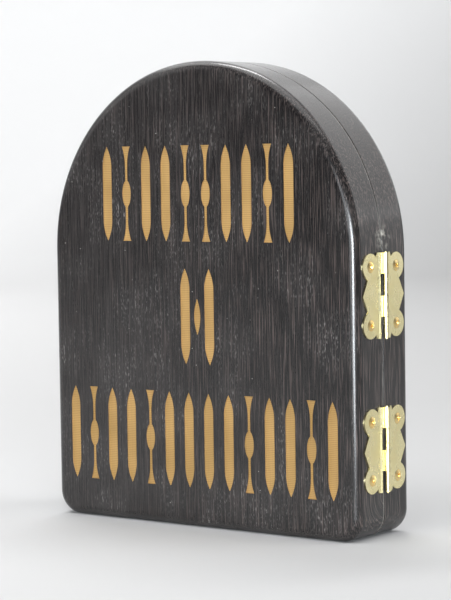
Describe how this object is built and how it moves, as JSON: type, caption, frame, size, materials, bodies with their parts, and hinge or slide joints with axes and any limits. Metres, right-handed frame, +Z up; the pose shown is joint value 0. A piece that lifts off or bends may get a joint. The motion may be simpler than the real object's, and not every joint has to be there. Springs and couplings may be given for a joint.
{
  "type": "folding icon",
  "caption": "Closed two-leaf folding icon: arch-topped dark wooden boards with engraved rows on the front, joined along one edge by brass butterfly hinges.",
  "frame": {"origin": "on the floor, in the middle of the closed icon's footprint, hinge barrels included; y = 0 is the plane where the leaves meet", "axes": "+X across the front towards the hinged edge, -Y out of the engraved front face, +Z up to the top of the arch"},
  "size_m": [0.1484, 0.0362, 0.18],
  "materials": {
    "stained_wood": "dark-stained hardwood, satin, engraved strokes bare and golden",
    "brass": "stamped sheet brass, bright polished"
  },
  "bodies": {
    "back_leaf": {"back_board": "stained_wood", "upper_hinge_back_plate": "brass", "upper_hinge_back_upper_screw": "brass", "upper_hinge_back_lower_screw": "brass", "upper_hinge_pin": "brass", "lower_hinge_back_plate": "brass", "lower_hinge_back_upper_screw": "brass", "lower_hinge_back_lower_screw": "brass", "lower_hinge_pin": "brass"},
    "front_leaf": {"front_board": "stained_wood", "upper_hinge_front_plate": "brass", "upper_hinge_front_upper_screw": "brass", "upper_hinge_front_lower_screw": "brass", "lower_hinge_front_plate": "brass", "lower_hinge_front_upper_screw": "brass", "lower_hinge_front_lower_screw": "brass"}
  },
  "joints": [
    {"name": "leaf_fold", "type": "hinge", "parent": "back_leaf", "child": "front_leaf", "pos_m": [0.07325, 0, 0.06225], "axis": [0, 0, 1], "range_deg": [0, 180]}
  ]
}
